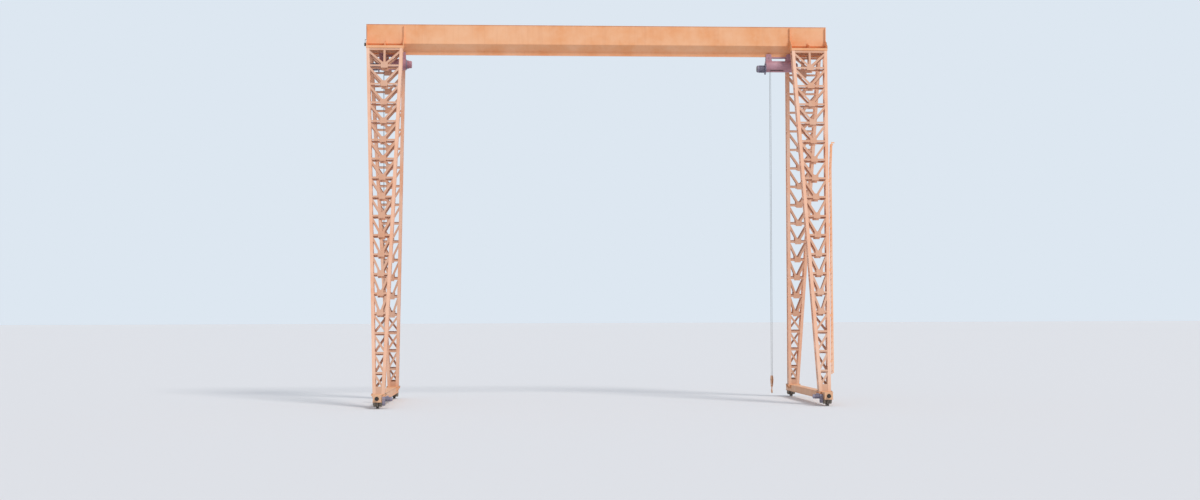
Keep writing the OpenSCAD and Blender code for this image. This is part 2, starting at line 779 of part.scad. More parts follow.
// Lamp that hangs on an arm out of the middle of a round foot
module end_lamp(x_side) {
    foot_t = 8;
    arm_l = lamp_reach - lamp_d / 2;
    rotate([0, 90 * x_side, 0]) {
        cylinder(h = foot_t, r = 40);
        translate([0, 0, foot_t - 1]) cylinder(h = arm_l - foot_t + 1, r = 14);
        translate([x_side * lamp_l / 3, 0, arm_l]) rotate([0, 90, 0])
            cylinder(h = lamp_l, r = lamp_d / 2, center = true);
    }
}

module end_lamps() {
    lamp_z = web_z + lamp_d * 0.2;
    color(iron)
        for (x_side = [-1, 1])
            translate([x_side * girder_l / 2, -girder_w * 0.28, lamp_z]) end_lamp(x_side);
}

// Hoists. A hoist's own frame has x = 0 at its motor end, and both motors point to the left

module place_hoist(x_name) {
    translate([x_name == "right" ? hoist_right_x : -hoist_left_x - hoist_l, 0, 0]) children();
}

function low_sheave_z(x_name) = sheave_z + (x_name == "left" ? left_hook_rise : 0);

module trolley() {
    low_z = trolley_shaft_z - trolley_shaft_d;
    top_z = trolley_axle_z + trolley_wheel_d / 2;
    cut = trolley_wheel_d / 3;
    half = trolley_l / 2;
    pin_l = 14;
    for (y_side = [0, 1])
        mirror([0, y_side, 0]) {
            translate([0, trolley_plate_y + trolley_plate_t, 0]) rotate([90, 0, 0])
                linear_extrude(height = trolley_plate_t)
                    polygon([[-half, low_z], [half, low_z], [half, top_z - cut], [half - cut, top_z],
                             [cut - half, top_z], [-half, top_z - cut]]);
            for (x = [-1, 1])
                translate([x * trolley_l / 4, trolley_plate_y + 1, trolley_axle_z]) rotate([90, 0, 0]) {
                    cylinder(h = trolley_plate_y + 1 - track_web_t / 2 - 12, r = trolley_wheel_d / 2);
                    translate([0, 0, -trolley_plate_t - pin_l])
                        cylinder(h = pin_l + trolley_plate_t / 2, r = trolley_wheel_d / 5);
                }
        }
    translate([0, 0, trolley_shaft_z]) rotate([90, 0, 0])
        cylinder(h = 2 * (hanger_y + hanger_t + pin_l), r = trolley_shaft_d / 2, center = true);
}

module hoist_trolley(x_name) {
    color(iron)
        place_hoist(x_name)
            for (u = [trolley_a_u, trolley_b_u]) translate([u, 0, 0]) trolley();
}

// Plate on top of the casing that hangs it on the shafts of both trolleys
module hanger_plate() {
    inner_r = casing_d / 2 - casing_wall;
    low_z = casing_z + sqrt(inner_r * inner_r - pow(hanger_y + hanger_t, 2));
    top_z = track_z - hanger_clear;
    bar_z = top_z - hanger_bar_h;
    half = trolley_l / 2;
    flare = 30;
    translate([0, hanger_y + hanger_t, 0]) rotate([90, 0, 0])
        linear_extrude(height = hanger_t)
            difference() {
                polygon([[trolley_a_u - half, low_z], [trolley_a_u + half + flare, low_z],
                         [trolley_a_u + half, bar_z], [trolley_b_u - half, bar_z],
                         [trolley_b_u - half - flare, low_z], [trolley_b_u + half, low_z],
                         [trolley_b_u + half, top_z], [trolley_a_u - half, top_z]]);
                for (u = [trolley_a_u, trolley_b_u])
                    translate([u, trolley_shaft_z]) circle(r = trolley_shaft_d / 2 + shaft_fit);
            }
}

module hoist_casing(x_name) {
    slot_half = (rope_d + 30) / 2;
    slot_l = casing_l / 2;
    cover_round = 30;
    color(red)
        place_hoist(x_name) {
            difference() {
                translate([casing_u0, 0, casing_z]) rotate([0, 90, 0]) {
                    cylinder(h = casing_l, r = casing_d / 2);
                    for (z = [0, casing_l - casing_end_t])
                        translate([0, 0, z]) cylinder(h = casing_end_t, r = casing_d / 2 + casing_ring);
                }
                translate([casing_u0 + casing_end_t, 0, casing_z]) rotate([0, 90, 0])
                    cylinder(h = casing_l - 2 * casing_end_t, r = casing_d / 2 - casing_wall);
                for (y_side = [-1, 1])
                    translate([rope_u - slot_half, y_side * rope_pitch_d / 2 - slot_half,
                               casing_z - casing_d])
                        cube([slot_l, 2 * slot_half, casing_d]);
            }
            for (y_side = [0, 1]) mirror([0, y_side, 0]) hanger_plate();
            translate([hoist_l - gear_cover_l, 0, casing_z]) rotate([0, 90, 0]) {
                cylinder(h = gear_cover_l - cover_round, r = gear_cover_d / 2);
                translate([0, 0, gear_cover_l - cover_round])
                    cylinder(h = cover_round, r1 = gear_cover_d / 2, r2 = gear_cover_d / 2 - cover_round);
                for (a = [22.5 : 45 : 337.5])
                    rotate([0, 0, a]) translate([gear_cover_d / 2 - 5, -6, 0])
                        cube([30, 12, gear_cover_l * 0.4]);
            }
        }
}

module hoist_drum(x_name) {
    inner_l = casing_l - 2 * casing_end_t;
    drum_l = inner_l - 2 * drum_clear;
    grooves = floor((drum_l - 2 * groove_pitch) / groove_pitch);
    rim_t = 20;
    color(iron)
        place_hoist(x_name)
            translate([casing_u0 + casing_end_t, 0, casing_z]) rotate([0, 90, 0]) {
                difference() {
                    translate([0, 0, drum_clear]) cylinder(h = drum_l, r = drum_r);
                    for (i = [1 : grooves])
                        translate([0, 0, drum_clear + groove_pitch * (i + 0.5)])
                            rotate_extrude() translate([rope_pitch_d / 2, 0]) circle(r = rope_d / 2 + 3);
                }
                for (z = [drum_clear - rim_t * 0.8, drum_clear + drum_l - rim_t * 0.2])
                    translate([0, 0, z]) cylinder(h = rim_t, r = rope_pitch_d / 2 + 40);
                cylinder(h = inner_l, r = 50);
            }
}

// Motor with its fan cowl at x = 0, and the gear flange at the other end of the casing
module hoist_motor(x_name) {
    body_r = motor_d / 2 - 22;
    fan_l = 110;
    cowl_r = motor_d / 2 - 12;
    cowl_round = 24;
    terminal_w = 150;
    color(iron)
        place_hoist(x_name) {
            translate([0, 0, motor_z]) rotate([0, 90, 0]) {
                cylinder(h = cowl_round, r1 = cowl_r - cowl_round, r2 = cowl_r);
                translate([0, 0, cowl_round]) cylinder(h = fan_l - cowl_round, r = cowl_r);
                translate([0, 0, fan_l - 1]) cylinder(h = motor_l - fan_l + 2, r = body_r);
                for (a = [0 : 15 : 345])
                    rotate([0, 0, a]) translate([body_r - 5, -3, fan_l - 1])
                        cube([27, 6, motor_l - fan_l - 40]);
                translate([0, 0, motor_l]) cylinder(h = motor_flange_t, r = motor_flange_d / 2);
            }
            translate([fan_l + 40, body_r - 10, motor_z - terminal_w / 2])
                cube([terminal_w, 70, terminal_w]);
            translate([casing_u1, 0, casing_z]) rotate([0, 90, 0])
                cylinder(h = hoist_l - gear_cover_l - casing_u1, r = casing_d / 2 - 50);
        }
}

module hoist_ropes(x_name) {
    color("silver")
        place_hoist(x_name)
            for (y_side = [-1, 1])
                translate([rope_u, y_side * rope_pitch_d / 2, low_sheave_z(x_name)])
                    cylinder(h = casing_z - low_sheave_z(x_name), r = rope_d / 2);
}

// Sheave with its groove, between two cheek plates that narrow towards the crosshead
module hook_block() {
    cheek_x = sheave_w / 2 + 4;
    cheek_r = rope_pitch_d / 2 + 40;
    low_half = crosshead_h * 0.8;
    low_z = -crosshead_drop - crosshead_h / 2;
    low_dist = norm([low_half, low_z]);
    tangent = atan(low_half / -low_z) + acos(cheek_r / low_dist);
    groove_r = rope_d / 2 + 1;
    rotate([0, 90, 0])
        rotate_extrude()
            difference() {
                translate([0, -sheave_w / 2]) square([rope_pitch_d / 2 + 20, sheave_w]);
                translate([rope_pitch_d / 2, 0]) circle(r = groove_r);
                translate([rope_pitch_d / 2, -groove_r]) square([40, 2 * groove_r]);
            }
    for (x_side = [0, 1])
        mirror([x_side, 0, 0]) translate([cheek_x, 0, 0]) {
            rotate([0, 90, 0]) cylinder(h = cheek_t, r = cheek_r);
            translate([cheek_t / 2, 0, 0])
                plate_x(cheek_t, [
                    [-low_half, low_z], [low_half, low_z],
                    [cheek_r * sin(tangent), -cheek_r * cos(tangent)],
                    [-cheek_r * sin(tangent), -cheek_r * cos(tangent)]]);
        }
    rotate([0, 90, 0]) cylinder(h = 2 * (cheek_x + cheek_t + 18), r = 35, center = true);
    translate([-cheek_x - 1, -crosshead_h * 0.65, -crosshead_drop - crosshead_h / 2])
        cube([2 * cheek_x + 2, crosshead_h * 1.3, crosshead_h]);
    translate([0, 0, -crosshead_drop]) forged_hook();
}

// Round-section hook that hangs in the crosshead. Its bowl lies in the y-z plane, open to -y
module forged_hook() {
    section_r = hook_d / 2;
    bowl_r = hook_throat_r + section_r;
    neck_turn = 60;
    tip_turn = 15;
    neck_z = 2 * bowl_r * sin(neck_turn);
    tip_r = section_r * 0.45;
    latch_t = 5;
    translate([0, 0, -throat_drop]) rotate([90, 0, 90]) {
        rotate([0, 0, 180 + tip_turn])
            rotate_extrude(angle = 180 - tip_turn + neck_turn)
                translate([bowl_r, 0]) circle(r = section_r);
        translate([bowl_r, neck_z, 0]) rotate([0, 0, 180])
            rotate_extrude(angle = neck_turn) translate([bowl_r, 0]) circle(r = section_r);
        rotate([0, 0, 180 + tip_turn]) translate([bowl_r, 0, 0]) rotate([90, 0, 0]) {
            cylinder(h = hook_tip_l, r1 = section_r, r2 = tip_r);
            translate([0, 0, hook_tip_l]) sphere(r = tip_r);
        }
        translate([0, neck_z, 0]) rotate([-90, 0, 0])
            cylinder(h = throat_drop - neck_z, r = section_r);
        translate([0, 0, -section_r / 2]) linear_extrude(height = section_r)
            polygon([[0, neck_z * 0.55], [-bowl_r * 0.95, neck_z * 0.26],
                     [-bowl_r * 0.95, neck_z * 0.26 + latch_t], [0, neck_z * 0.55 + 4 * latch_t]]);
    }
}

module hoist_hook(x_name) {
    color(iron)
        place_hoist(x_name) translate([rope_u, 0, low_sheave_z(x_name)]) hook_block();
}

girder_top_plate();
girder_web(-1);  // girder_web_near
girder_web(1);  // girder_web_far
girder_slope(-1);  // girder_slope_near
girder_slope(1);  // girder_slope_far
track_beam();
girder_end_plates();
leg_caps();
girder_brackets();
column_outer("left", "near");  // column_left_near_outer
column_inner("left", "near");  // column_left_near_inner
column_sides("left", "near");  // column_left_near_sides
column_outer("left", "far");  // column_left_far_outer
column_inner("left", "far");  // column_left_far_inner
column_sides("left", "far");  // column_left_far_sides
column_outer("right", "near");  // column_right_near_outer
column_inner("right", "near");  // column_right_near_inner
column_sides("right", "near");  // column_right_near_sides
column_outer("right", "far");  // column_right_far_outer
column_inner("right", "far");  // column_right_far_inner
column_sides("right", "far");  // column_right_far_sides
ground_beam("left");  // ground_beam_left
ground_beam("right");  // ground_beam_right
bearing_boxes();
wheel("left", "near");  // wheel_left_near
wheel("left", "far");  // wheel_left_far
wheel("right", "near");  // wheel_right_near
wheel("right", "far");  // wheel_right_far
travel_drive("left");  // travel_drive_left
travel_drive("right");  // travel_drive_right
buffers();
ladder();
end_lamps();
hoist_trolley("left");  // hoist_left_trolley
hoist_casing("left");  // hoist_left_casing
hoist_drum("left");  // hoist_left_drum
hoist_motor("left");  // hoist_left_motor
hoist_ropes("left");  // hoist_left_ropes
hoist_hook("left");  // hoist_left_hook
hoist_trolley("right");  // hoist_right_trolley
hoist_casing("right");  // hoist_right_casing
hoist_drum("right");  // hoist_right_drum
hoist_motor("right");  // hoist_right_motor
hoist_ropes("right");  // hoist_right_ropes
hoist_hook("right");  // hoist_right_hook
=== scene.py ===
"""Looks for the gantry crane: materials, weld beads, bolts, ropes, lamps, light and camera."""
import json
import math
import random

import bmesh
import bpy
from mathutils import Matrix, Vector


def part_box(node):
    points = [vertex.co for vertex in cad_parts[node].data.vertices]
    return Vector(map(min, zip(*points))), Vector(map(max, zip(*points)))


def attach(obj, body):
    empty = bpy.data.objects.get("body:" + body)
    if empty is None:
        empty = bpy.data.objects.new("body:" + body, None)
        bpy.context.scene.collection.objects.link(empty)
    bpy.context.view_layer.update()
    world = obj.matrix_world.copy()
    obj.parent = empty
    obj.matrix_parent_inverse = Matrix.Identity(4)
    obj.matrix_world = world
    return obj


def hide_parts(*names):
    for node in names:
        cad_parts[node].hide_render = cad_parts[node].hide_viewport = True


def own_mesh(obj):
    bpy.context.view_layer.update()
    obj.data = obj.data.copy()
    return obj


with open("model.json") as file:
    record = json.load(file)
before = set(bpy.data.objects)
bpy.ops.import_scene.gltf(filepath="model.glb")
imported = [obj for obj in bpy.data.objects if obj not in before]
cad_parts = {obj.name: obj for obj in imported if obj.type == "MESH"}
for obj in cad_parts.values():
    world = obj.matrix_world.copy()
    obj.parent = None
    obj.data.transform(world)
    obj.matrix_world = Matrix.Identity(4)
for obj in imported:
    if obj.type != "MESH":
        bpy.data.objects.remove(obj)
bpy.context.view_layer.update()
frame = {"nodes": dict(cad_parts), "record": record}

nodes = frame["nodes"]

# Sizes of the crane, in metres, as in the part's source
SPAN = 22.5
TRACK_Z = 18.51
GIRDER_W = 0.75
WEB_H = 1.01
SLOPE_SEAT = 0.18
SLOPE_H = 0.35
COLUMN_TOP_W = 1.9
COLUMN_FOOT_W = 0.6
COLUMN_DEPTH = 0.45
COLUMN_TOP_Y = 0.8
COLUMN_FOOT_Y = 4.3
TOP_PANEL_H = 1.01
PANELS = 17
SINGLE_PANELS = 4
CHORD_LEG = 0.16
BRACE_Y = 0.010
BRACE_INSET = 0.0812
DIAGONAL_W = 0.11
HORIZONTAL_W = 0.1
GUSSET_W = 0.34
GUSSET_H = 0.31
GUSSET_TOP_EXTRA = 0.02
FOOT_TIE_H = 0.33
CAP_LIP = 0.015
CAP_FLANGE = 0.058
CAP_H = 0.12
BRACKET_T = 0.012
BRACKET_H = 1.2
GROUND_BEAM_Z = 0.34
GROUND_BEAM_H = 0.36
GROUND_WEB_W = 0.4
GROUND_BEAM_L = 10.9
FOOT_PLATE_W = 0.72
WHEELBASE = 10.0
WHEEL_R = 0.275
BOX_X0 = 0.068
BOX_X1 = 0.204
BOX_R = 0.165
COVER_T = 0.018
BUFFER_D = 0.16
BUFFER_PLATE_T = 0.02
GEAR_CASE_X = 0.236
GEAR_CASE_T = 0.13
DRIVE_RISE = 0.21
LAMP_D = 0.1
LAMP_L = 0.15
LAMP_REACH = 0.13
HOIST_X = {"left": -12.1, "right": 8.58}
CASING_DROP = 0.52
CASING_D = 0.6
CASING_L = 1.43
MOTOR_DROP = 0.13
MOTOR_L = 0.44
MOTOR_FLANGE_D = 0.61
MOTOR_FLANGE_T = 0.03
HOIST_L = 2.2
GEAR_COVER_D = 0.39
GEAR_COVER_L = 0.25
TROLLEY_L = 0.3
HANGER_OUTER_Y = 0.1032
TROLLEY_SHAFT_DROP = 0.07
ROPE_PITCH_D = 0.38
ROPE_D = 0.016
ROPE_U = 0.72
SHEAVE_Z = {"left": 1.6, "right": 1.15}
SHEAVE_W = 0.05
CHEEK_T = 0.016

# Sizes of the details that only the scene has, in metres
BEAD_R = 0.006
LONG_BEAD_R = 0.005
SEAM_BEAD_R = 0.0035
BEAD_GAP = 0.002
SEAMS_X = (-9.3, -3.1, 3.1, 9.3)
CAP_BOLT = 0.019
CAP_BOLT_COUNT = 10
CAP_BOLT_PITCH = 0.18
FOOT_BOLT = 0.022
FOOT_BOLT_COUNT = 4
FOOT_BOLT_PITCH = 0.17
FOOT_BOLT_EDGE = 0.03
SMALL_BOLT = 0.009
BOX_BOLT = 0.014
FLANGE_BOLT = 0.014
GEAR_BOLT = 0.008
HOOK_BOLT = 0.011
DRIVE_BOLT_CIRCLE_R = 0.105
LENS_R = 0.043
RIM_R = 0.0495
STAY_R = 0.011
STAY_RISE = 0.19
GRILLE_RINGS_R = (0.03, 0.055, 0.08, 0.105, 0.13, 0.15)
GRILLE_R = 0.155
GRILLE_POINTS = 40
GRILLE_WIRE_R = 0.0035
GRILLE_SPOKE_R = 0.004
ROPE_STEP = 0.009
ROPE_TURN_STEPS = 66
HOOK_BOLTS = ((-0.2, 0.0), (0.2, 0.0), (0.0, 0.2), (-0.1, -0.2), (0.1, -0.2), (0.0, -0.345))
HOOK_BOLT_SPREAD = 0.98
# Share of painted shade on a column's bars, between its chords
BAR_PAINTED_SHADE = 0.32
FLOOR_HALF = 6000

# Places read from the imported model
foot_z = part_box("column_left_near_outer")[0].z
cap_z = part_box("column_left_near_outer")[1].z
rise = cap_z - foot_z
lean = math.atan((COLUMN_FOOT_Y - COLUMN_TOP_Y) / rise)
column_l = rise / math.cos(lean)
taper = math.atan((COLUMN_TOP_W - COLUMN_FOOT_W) / 2 / column_l)
level_step = (column_l - TOP_PANEL_H) / PANELS
web_z = TRACK_Z + SLOPE_SEAT + SLOPE_H
top_plate_z = web_z + WEB_H
girder_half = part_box("track_beam")[1].x
base_z = cap_z + CAP_H + BRACKET_T
casing_z = TRACK_Z - CASING_DROP
motor_z = casing_z - MOTOR_DROP
casing_u0 = MOTOR_L + MOTOR_FLANGE_T
casing_u1 = casing_u0 + CASING_L
chooser = random.Random(11)


def half_w(s):
    """Half the width of a column's wide face at the length s up the column."""
    return COLUMN_FOOT_W / 2 + s * math.tan(taper)


# Meshes


def new_object(name, bm, material, body, smooth=False):
    """Turns a bmesh into a piece that rides on a body."""
    bmesh.ops.recalc_face_normals(bm, faces=bm.faces)
    mesh = bpy.data.meshes.new(name)
    bm.to_mesh(mesh)
    bm.free()
    if smooth:
        mesh.shade_smooth()
    obj = bpy.data.objects.new(name, mesh)
    bpy.context.scene.collection.objects.link(obj)
    obj.data.materials.append(material)
    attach(obj, body)
    return obj


def frame_from(axis, origin):
    """Matrix whose z runs along axis, at origin."""
    turn = Vector(axis).to_track_quat("Z", "Y").to_matrix().to_4x4()
    return Matrix.Translation(Vector(origin)) @ turn


def around(count, radius, start=0.0):
    """Points evenly spaced on a circle."""
    for i in range(count):
        a = start + 2 * math.pi * i / count
        yield radius * math.cos(a), radius * math.sin(a)


def join_rings(bm, rings, cap=True):
    """Faces between rings of equally many vertices, with flat ends."""
    for low, high in zip(rings, rings[1:]):
        for i in range(len(low)):
            j = (i + 1) % len(low)
            bm.faces.new((low[i], low[j], high[j], high[i]))
    if cap:
        bm.faces.new(rings[0][::-1])
        bm.faces.new(rings[-1])


def add_rings(bm, matrix, profile, sides):
    """Adds a body of revolution: profile is a list of (radius, height) from one end to the other."""
    join_rings(bm, [[bm.verts.new(matrix @ Vector((x, y, height))) for x, y in around(sides, radius)]
                    for radius, height in profile])


def add_bolt(bm, place, normal, size):
    """Adds a hexagon head on a washer, with the thread's end above it."""
    m = frame_from(normal, place) @ Matrix.Rotation(chooser.uniform(0, math.pi), 4, "Z")
    add_rings(bm, m, [(size * 1.1, -0.001), (size * 1.1, size * 0.15)], 12)
    add_rings(bm, m, [(size * 0.9, size * 0.15), (size * 0.9, size * 0.7), (size * 0.78, size * 0.8)], 6)
    add_rings(bm, m, [(size * 0.5, size * 0.8), (size * 0.5, size * 1.1), (size * 0.42, size * 1.16)], 8)


def add_bead(bm, start, end, size, step=0.012):
    """Adds a weld bead: a rod with the ripples of its passes, pinched at both ends."""
    start, end = Vector(start), Vector(end)
    length = (end - start).length
    count = max(3, int(length / step))
    m = frame_from(end - start, start)
    rings = []
    for k in range(count + 1):
        radius = size * (chooser.uniform(0.86, 1.08) if 0 < k < count else 0.5)
        rings.append([bm.verts.new(m @ Vector((x, y, length * k / count))) for x, y in around(5, radius)])
    join_rings(bm, rings)


def add_rope(bm, ring_frames, radius):
    """Adds a rope of six strands. Each ring turns by one point, which lays the strands in a helix."""
    points = 12
    rings = []
    for k, m in enumerate(ring_frames):
        ring = []
        for i in range(points):
            a = 2 * math.pi * (i + k) / points
            r = radius * (1.0 if i % 2 == 0 else 0.8)
            ring.append(bm.verts.new(m @ Vector((r * math.cos(a), r * math.sin(a), 0))))
        rings.append(ring)
    join_rings(bm, rings)


def column_places(x_side, y_side):
    """Matrix from a column's own frame to the crane's."""
    m = Matrix.Translation((-SPAN / 2, -COLUMN_FOOT_Y, foot_z)) @ Matrix.Rotation(-lean, 4, "X")
    flip = Matrix.Diagonal((-1 if x_side > 0 else 1, -1 if y_side > 0 else 1, 1, 1))
    return flip @ m


# Materials


def node_material(name):
    """New material with its node tree, its shader and a helper that adds nodes."""
    material = bpy.data.materials.new(name)
    material.use_nodes = True
    tree = material.node_tree
    shader = tree.nodes["Principled BSDF"]

    def add(kind, links=None, **settings):
        node = tree.nodes.new(kind)
        for key, value in settings.items():
            if key in node.inputs:
                node.inputs[key].default_value = value
            else:
                setattr(node, key, value)
        for key, source in (links or {}).items():
            tree.links.new(source, node.inputs[key])
        return node

    return material, tree, shader, add


def srgb(r, g, b):
    """Linear colour from 0-255 display values."""
    def channel(v):
        v /= 255
        return v / 12.92 if v <= 0.04045 else ((v + 0.055) / 1.055) ** 2.4
    return (channel(r), channel(g), channel(b), 1.0)


def noise(add, coords, scale, detail=4.0, stretch=(1, 1, 1), roughness=0.55):
    """Noise texture in object coordinates, stretched along an axis where asked."""
    mapping = add("ShaderNodeMapping", {"Vector": coords})
    mapping.inputs["Scale"].default_value = stretch
    texture = add("ShaderNodeTexNoise", {"Vector": mapping.outputs["Vector"]}, Scale=scale, Detail=detail)
    texture.inputs["Roughness"].default_value = roughness
    return texture.outputs["Fac"]


def ramp(add, source, low, high, low_value=0.0, high_value=1.0):
    """Maps a value from low..high to low_value..high_value, clamped."""
    node = add("ShaderNodeMapRange", {"Value": source})
    node.inputs["From Min"].default_value = low
    node.inputs["From Max"].default_value = high
    node.inputs["To Min"].default_value = low_value
    node.inputs["To Max"].default_value = high_value
    return node.outputs["Result"]


def mix_colour(add, tree, factor, a, b):
    """Mixes two colours, each a constant or a socket."""
    node = add("ShaderNodeMix", data_type="RGBA")
    tree.links.new(factor, node.inputs[0])
    for socket, value in ((node.inputs[6], a), (node.inputs[7], b)):
        if isinstance(value, tuple):
            socket.default_value = value
        else:
            tree.links.new(value, socket)
    return node.outputs[2]


def multiply(add, a, b):
    """Product of two values."""
    node = add("ShaderNodeMath", {0: a}, operation="MULTIPLY")
    if isinstance(b, float):
        node.inputs[1].default_value = b
    else:
        node.id_data.links.new(b, node.inputs[1])
    return node.outputs[0]


def bar_shade_mask(add, coords, amount):
    """Mask of painted shade for the bars of a column, which lie between its two chords: amount there and 0
    elsewhere.
    """
    place = add("ShaderNodeSeparateXYZ", {"Vector": coords}).outputs
    side = add("ShaderNodeMath", {0: place["X"]}, operation="ABSOLUTE").outputs[0]
    off_axis = add("ShaderNodeMath", {0: side}, operation="SUBTRACT")
    off_axis.inputs[1].default_value = SPAN / 2
    off_axis = add("ShaderNodeMath", {0: off_axis.outputs[0]}, operation="ABSOLUTE").outputs[0]
    slope = math.tan(taper) / math.cos(lean)
    edge = add("ShaderNodeMath", {0: place["Z"]}, operation="MULTIPLY_ADD")
    edge.inputs[1].default_value = slope
    edge.inputs[2].default_value = COLUMN_FOOT_W / 2 - foot_z * slope - CHORD_LEG
    inside = add("ShaderNodeMath", {0: edge.outputs[0], 1: off_axis}, operation="SUBTRACT")
    return ramp(add, inside.outputs[0], -0.002, 0.004, 0.0, amount)


def painted(name, base, faded, grime, rust=None, streaks=0.5, dusty=0.0, roughness=(0.42, 0.68), wear=0.6,
            grain=1.0, bars=None):
    """Weathered paint on rolled plate: faded patches, rain streaks, dust near the ground, worn edges, and
    painted shade that darkens a column's bars towards the colour bars, when given.
    """
    rust = rust or srgb(120, 62, 34)
    material, tree, shader, add = node_material(name)
    coords = add("ShaderNodeTexCoord").outputs["Object"]
    broad = noise(add, coords, 0.55, 5.0)
    patch = noise(add, coords, 3.1, 6.0)
    streak = noise(add, coords, 7.0, 5.0, (1.0, 1.0, 0.06), 0.6)
    speck = noise(add, coords, 38.0, 4.0, roughness=0.7)
    fine = noise(add, coords, 240.0, 2.0)
    colour = mix_colour(add, tree, ramp(add, broad, 0.35, 0.68), base, faded)
    colour = mix_colour(add, tree, ramp(add, patch, 0.45, 0.75, 0.0, 0.55), colour, faded)
    colour = mix_colour(add, tree, ramp(add, streak, 0.52, 0.78, 0.0, streaks), colour, grime)
    if dusty:
        height = add("ShaderNodeSeparateXYZ", {"Vector": coords}).outputs["Z"]
        low = ramp(add, height, 0.0, 2.6, dusty, 0.0)
        colour = mix_colour(add, tree, multiply(add, low, ramp(add, patch, 0.3, 0.6, 0.5, 1.0)), colour,
                            srgb(188, 172, 150))
    # Painted shade: a column's bars, between its chords, darken towards the colour bars.
    if bars:
        colour = mix_colour(add, tree, bar_shade_mask(add, coords, BAR_PAINTED_SHADE), colour, bars)
    bevel = add("ShaderNodeBevel", samples=4, Radius=0.006)
    normal = add("ShaderNodeNewGeometry").outputs["Normal"]
    edge = add("ShaderNodeVectorMath", {0: bevel.outputs["Normal"], 1: normal}, operation="DOT_PRODUCT")
    edge_mask = ramp(add, edge.outputs["Value"], 0.97, 0.80)
    chip = multiply(add, edge_mask, ramp(add, speck, 0.46, 0.60, 0.0, wear))
    rust_spot = multiply(add, ramp(add, speck, 0.70, 0.78), ramp(add, patch, 0.5, 0.7))
    worn = add("ShaderNodeMath", {0: chip, 1: rust_spot}, operation="MAXIMUM", use_clamp=True)
    colour = mix_colour(add, tree, worn.outputs[0], colour, rust)
    tree.links.new(colour, shader.inputs["Base Color"])
    rough = ramp(add, patch, 0.3, 0.7, roughness[0], roughness[1])
    tree.links.new(rough, shader.inputs["Roughness"])
    plate = add("ShaderNodeBump", {"Height": patch}, Strength=0.16 * grain, Distance=0.006)
    skin = add("ShaderNodeBump", {"Height": fine, "Normal": plate.outputs["Normal"]},
               Strength=0.22 * grain, Distance=0.0008)
    tree.links.new(skin.outputs["Normal"], shader.inputs["Normal"])
    return material


def bare_steel(name, dark, light, roughness=(0.28, 0.55), metallic=1.0, scale=20.0):
    """Machined or rolled steel with a light film of dirt."""
    material, tree, shader, add = node_material(name)
    coords = add("ShaderNodeTexCoord").outputs["Object"]
    blotch = noise(add, coords, scale * 0.2, 6.0)
    scratch = noise(add, coords, scale, 4.0, (1.0, 0.15, 1.0))
    colour = mix_colour(add, tree, ramp(add, blotch, 0.35, 0.7), dark, light)
    tree.links.new(colour, shader.inputs["Base Color"])
    tree.links.new(ramp(add, scratch, 0.3, 0.7, roughness[0], roughness[1]), shader.inputs["Roughness"])
    shader.inputs["Metallic"].default_value = metallic
    bump = add("ShaderNodeBump", {"Height": scratch}, Strength=0.15, Distance=0.001)
    tree.links.new(bump.outputs["Normal"], shader.inputs["Normal"])
    return material


def rubber(name):
    """Matt rubber with a dusty bloom."""
    material, tree, shader, add = node_material(name)
    coords = add("ShaderNodeTexCoord").outputs["Object"]
    dust = noise(add, coords, 9.0, 6.0)
    colour = mix_colour(add, tree, ramp(add, dust, 0.45, 0.8, 0.0, 0.5), srgb(34, 33, 32), srgb(96, 90, 82))
    tree.links.new(colour, shader.inputs["Base Color"])
    tree.links.new(ramp(add, dust, 0.3, 0.7, 0.62, 0.85), shader.inputs["Roughness"])
    bump = add("ShaderNodeBump", {"Height": noise(add, coords, 180.0, 3.0)}, Strength=0.3, Distance=0.0006)
    tree.links.new(bump.outputs["Normal"], shader.inputs["Normal"])
    return material


def glass(name, colour):
    """Frosted lamp glass."""
    material, tree, shader, add = node_material(name)
    coords = add("ShaderNodeTexCoord").outputs["Object"]
    frost = noise(add, coords, 120.0, 3.0)
    tree.links.new(ramp(add, frost, 0.3, 0.7, 0.12, 0.3), shader.inputs["Roughness"])
    shader.inputs["Base Color"].default_value = colour
    shader.inputs["Transmission Weight"].default_value = 0.4
    shader.inputs["IOR"].default_value = 1.5
    return material


ORANGE = painted("crane_orange", srgb(232, 158, 104), srgb(240, 184, 142), srgb(202, 130, 92), streaks=0.22,
                 dusty=0.4)
# Lattice paint: a rosier, paler copy of the crane orange as painted shade and haze on the columns, with the
# bars between the chords darker still as painted shade.
COLUMN_SHADED_PAINT = painted("column_orange_painted_shade", srgb(232, 170, 134), srgb(238, 194, 168), srgb(196, 136, 108), streaks=0.22,
                 dusty=0.4, bars=srgb(150, 106, 80))
MOTOR = painted("motor_paint", srgb(118, 111, 130), srgb(148, 142, 158), srgb(78, 74, 88), streaks=0.3,
                rust=srgb(92, 80, 76))
RED = painted("casing_red", srgb(162, 110, 122), srgb(188, 146, 157), srgb(120, 82, 92), streaks=0.3,
              rust=srgb(112, 80, 72))
IRON = painted("bearing_paint", srgb(62, 62, 66), srgb(92, 90, 88), srgb(40, 38, 38), dusty=0.5,
               rust=srgb(98, 62, 42))
WHEEL = bare_steel("wheel_steel", srgb(92, 84, 76), srgb(150, 144, 138), roughness=(0.3, 0.6))
DRUM = bare_steel("drum_steel", srgb(70, 66, 60), srgb(110, 104, 96))
ROPE = bare_steel("wire_rope", srgb(88, 86, 84), srgb(140, 138, 134), roughness=(0.35, 0.6), scale=60.0)
BUFFER = rubber("buffer_rubber")
BOLT = bare_steel("bolt_steel", srgb(120, 112, 104), srgb(172, 166, 158), scale=80.0)

LENS = glass("lamp_glass", srgb(214, 206, 190))

